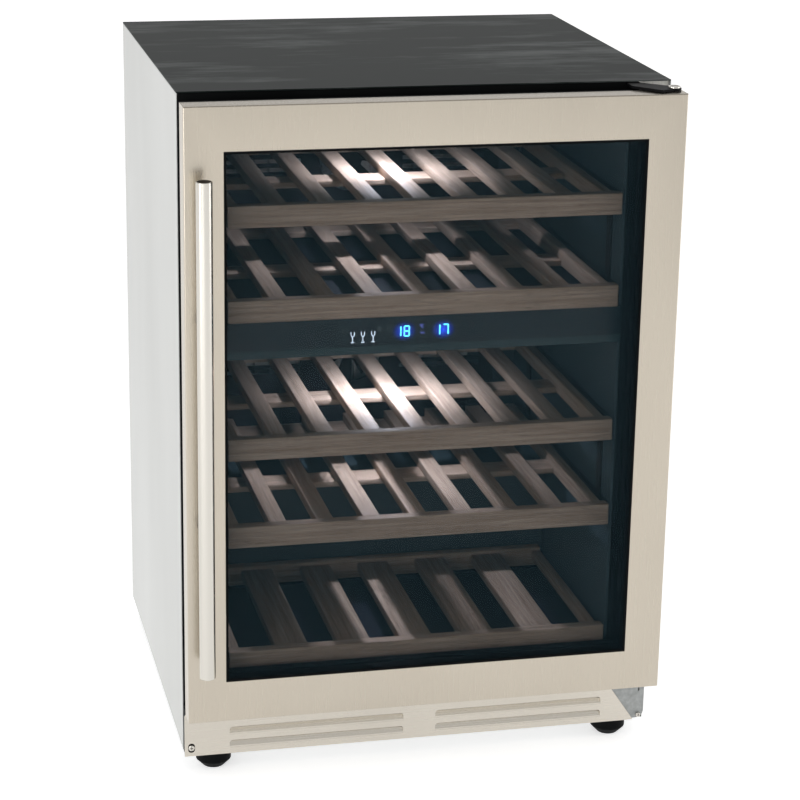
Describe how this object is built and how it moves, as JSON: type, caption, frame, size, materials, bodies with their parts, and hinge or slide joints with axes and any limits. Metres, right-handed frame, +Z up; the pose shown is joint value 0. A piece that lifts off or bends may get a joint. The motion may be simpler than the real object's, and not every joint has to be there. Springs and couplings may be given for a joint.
{
  "type": "wine cooler",
  "caption": "Free-standing two-zone wine cooler with a glazed stainless door, tube handle, touch panel, sliding wooden racks and a louvred plinth.",
  "frame": {"origin": "on the floor under the middle of the whole object", "axes": "+Z up, +Y towards the back panel, +X to the hinge side, seen from the front"},
  "size_m": [0.595, 0.6126, 0.85],
  "materials": {
    "brushed_steel": "vertical brushed stainless steel, warm",
    "polished_steel": "bright satin-polished stainless steel",
    "case_paint": "satin silver-grey coated sheet steel",
    "top_paint": "satin dark grey painted sheet steel",
    "zinc_plate": "dull zinc-plated steel",
    "black_steel": "satin black painted steel",
    "black_plastic": "satin black moulded plastic",
    "spacer_bar": "matt black spacer bar",
    "seal_rubber": "soft black rubber",
    "tinted_glass": "smoked blue-grey glass",
    "foam": "rigid white foam",
    "liner_plastic": "dark moulded liner plastic",
    "black_gloss": "gloss black touch panel",
    "board": "green circuit board",
    "lamp_lens": "white diffusing lamp lens",
    "aluminium": "bare aluminium fins",
    "copper": "bare copper pipe",
    "compressor_paint": "black enamelled steel",
    "beech": "plain beech, lightly oiled"
  },
  "bodies": {
    "cabinet": {"back_panel": "case_paint", "base_pan": "zinc_plate", "bottom_shelf_front": "beech", "bottom_shelf_rack": "beech", "compressor": "compressor_paint", "condenser": "aluminium", "condenser_fan_housing": "black_plastic", "control_box": "black_plastic", "control_panel": "black_gloss", "display_board": "board", "duct_cover_lower": "liner_plastic", "duct_cover_upper": "liner_plastic", "evaporator_lower": "aluminium", "evaporator_upper": "aluminium", "front_frame": "black_plastic", "inner_liner": "liner_plastic", "insulation_foam": "foam", "kick_plate": "brushed_steel", "kick_plate_screw": "polished_steel", "lamp_lower": "lamp_lens", "lamp_upper": "lamp_lens", "lower_hinge_bracket": "zinc_plate", "lower_hinge_pin": "zinc_plate", "lower_hinge_screw": "polished_steel", "mains_inlet": "black_plastic", "refrigerant_pipe": "copper", "runner_lower_left": "black_plastic", "runner_lower_right": "black_plastic", "runner_upper_left": "black_plastic", "runner_upper_right": "black_plastic", "side_panel_left": "case_paint", "side_panel_right": "case_paint", "top_cover": "top_paint", "upper_hinge_bracket": "black_steel", "upper_hinge_pin": "polished_steel", "zone_divider": "liner_plastic"},
    "door": {"door_skin": "brushed_steel", "door_inner_frame": "black_plastic", "outer_glass": "tinted_glass", "glass_spacer": "spacer_bar", "inner_glass": "tinted_glass", "door_gasket": "seal_rubber", "handle_bar": "polished_steel", "handle_post_upper": "polished_steel", "handle_post_lower": "polished_steel"},
    "fan_upper": {"fan_rotor_upper": "black_plastic"},
    "fan_lower": {"fan_rotor_lower": "black_plastic"},
    "condenser_fan": {"condenser_fan_rotor": "black_plastic"},
    "shelf_1": {"shelf_1_front": "beech", "shelf_1_rack": "beech"},
    "shelf_2": {"shelf_2_front": "beech", "shelf_2_rack": "beech"},
    "shelf_3": {"shelf_3_front": "beech", "shelf_3_rack": "beech"},
    "shelf_4": {"shelf_4_front": "beech", "shelf_4_rack": "beech"},
    "levelling_foot_front_left": {"foot_front_left": "black_plastic"},
    "levelling_foot_front_right": {"foot_front_right": "black_plastic"},
    "levelling_foot_rear_left": {"foot_rear_left": "black_plastic"},
    "levelling_foot_rear_right": {"foot_rear_right": "black_plastic"}
  },
  "joints": [
    {"name": "door_hinge", "type": "hinge", "parent": "cabinet", "child": "door", "pos_m": [0.287, -0.24175, 0.467], "axis": [0, 0, 1], "range_deg": [0, 110]},
    {"name": "shelf_1_slide", "type": "slide", "parent": "cabinet", "child": "shelf_1", "axis": [0, -1, 0], "range_m": [0, 0.15]},
    {"name": "shelf_2_slide", "type": "slide", "parent": "cabinet", "child": "shelf_2", "axis": [0, -1, 0], "range_m": [0, 0.15]},
    {"name": "shelf_3_slide", "type": "slide", "parent": "cabinet", "child": "shelf_3", "axis": [0, -1, 0], "range_m": [0, 0.15]},
    {"name": "shelf_4_slide", "type": "slide", "parent": "cabinet", "child": "shelf_4", "axis": [0, -1, 0], "range_m": [0, 0.15]},
    {"name": "fan_upper_spin", "type": "hinge", "parent": "cabinet", "child": "fan_upper", "pos_m": [0, 0.23575, 0.672], "axis": [0, 1, 0], "continuous": true},
    {"name": "fan_lower_spin", "type": "hinge", "parent": "cabinet", "child": "fan_lower", "pos_m": [0, 0.23575, 0.402], "axis": [0, 1, 0], "continuous": true},
    {"name": "condenser_fan_spin", "type": "hinge", "parent": "cabinet", "child": "condenser_fan", "pos_m": [-0.16, 0.18175, 0.115], "axis": [0, 1, 0], "continuous": true},
    {"name": "foot_front_left_turn", "type": "hinge", "parent": "cabinet", "child": "levelling_foot_front_left", "pos_m": [-0.257, -0.19175, 0.014], "axis": [0, 0, 1], "continuous": true},
    {"name": "foot_front_right_turn", "type": "hinge", "parent": "cabinet", "child": "levelling_foot_front_right", "pos_m": [0.257, -0.19175, 0.014], "axis": [0, 0, 1], "continuous": true},
    {"name": "foot_rear_left_turn", "type": "hinge", "parent": "cabinet", "child": "levelling_foot_rear_left", "pos_m": [-0.257, 0.26625, 0.014], "axis": [0, 0, 1], "continuous": true},
    {"name": "foot_rear_right_turn", "type": "hinge", "parent": "cabinet", "child": "levelling_foot_rear_right", "pos_m": [0.257, 0.26625, 0.014], "axis": [0, 0, 1], "continuous": true}
  ],
  "couplings": [
    {"joint": "shelf_1_slide", "follows": "door_hinge", "m_per_rad": 0.0781},
    {"joint": "shelf_2_slide", "follows": "door_hinge", "m_per_rad": 0.0781},
    {"joint": "shelf_3_slide", "follows": "door_hinge", "m_per_rad": 0.0781},
    {"joint": "shelf_4_slide", "follows": "door_hinge", "m_per_rad": 0.0781}
  ]
}
